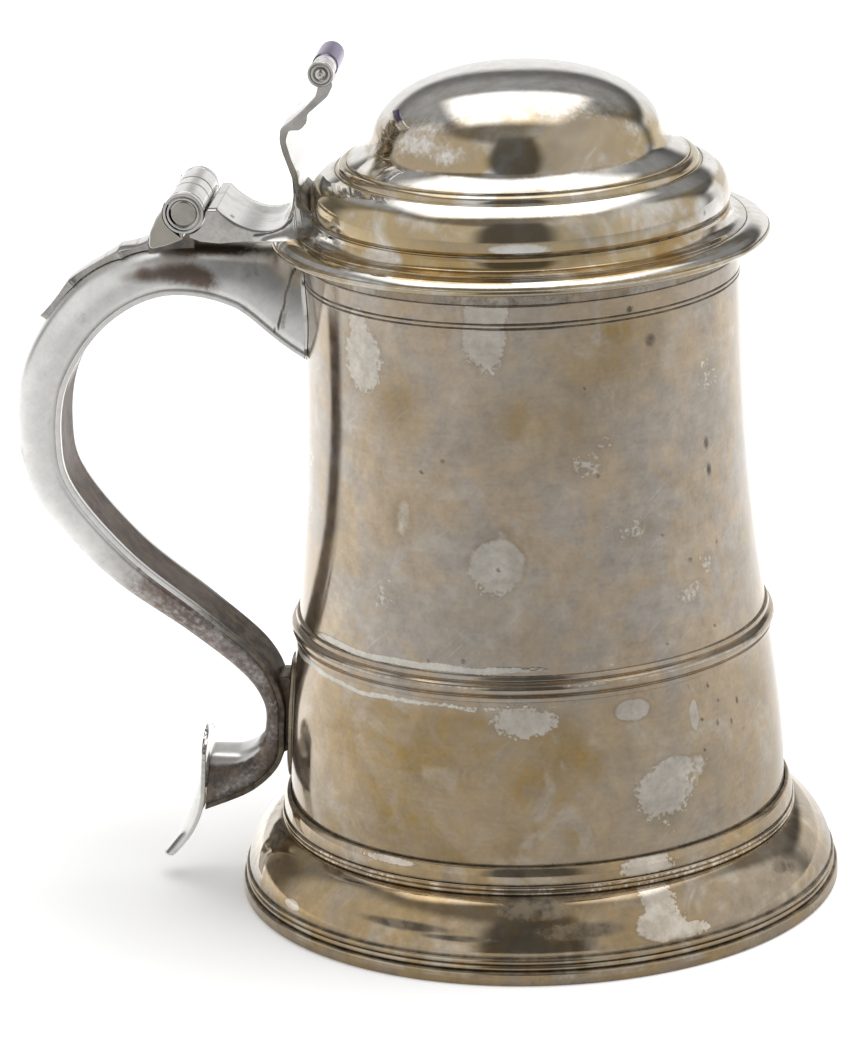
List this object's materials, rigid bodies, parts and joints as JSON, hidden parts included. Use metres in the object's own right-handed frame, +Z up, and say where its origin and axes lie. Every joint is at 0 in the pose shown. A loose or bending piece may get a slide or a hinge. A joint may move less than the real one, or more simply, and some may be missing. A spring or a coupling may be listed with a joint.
{
  "type": "tankard",
  "caption": "Lidded silver tankard with a flared barrel on a moulded foot, a hinged domed lid with a scrolled thumbpiece and a hollow scroll handle.",
  "frame": {"origin": "centre of the overall bounding box at the level of the table, between the handle's bow and the foot's far side", "axes": "+Z up along the barrel's axis, -X towards the handle, +Y along the hinge pin"},
  "size_m": [0.185, 0.1376, 0.1951],
  "materials": {
    "tarnished_silver": "worn polish under a warm tan tarnish",
    "polished_silver": "rubbed bright by handling",
    "aged_silver": "dull grey-brown tarnish"
  },
  "bodies": {
    "body": {"foot_rim_wire": "tarnished_silver", "foot_skirt": "tarnished_silver", "foot_collar_wire": "polished_silver", "foot_collar": "tarnished_silver", "body_barrel": "tarnished_silver", "body_bottom": "aged_silver", "lip_band": "tarnished_silver", "mid_band": "tarnished_silver", "hinge_knuckle_near": "polished_silver", "hinge_knuckle_far": "polished_silver", "hinge_pin": "aged_silver", "hinge_cap_near": "polished_silver", "hinge_cap_far": "polished_silver", "handle_hinge_bracket": "polished_silver", "handle_back": "aged_silver", "handle_inner_strip": "aged_silver", "handle_upper_plate": "polished_silver", "handle_patch_plate": "aged_silver", "handle_drop": "polished_silver", "handle_terminal": "polished_silver"},
    "lid": {"lid_cover": "tarnished_silver", "lid_rim_wire": "polished_silver", "lid_bezel": "aged_silver", "lid_hinge_leaf": "polished_silver", "hinge_knuckle_lid": "polished_silver", "thumbpiece": "polished_silver"}
  },
  "joints": [
    {"name": "lid_hinge", "type": "hinge", "parent": "body", "child": "lid", "pos_m": [-0.05014, 0, 0.1614], "axis": [0, -1, 0], "range_deg": [0, 150]}
  ]
}
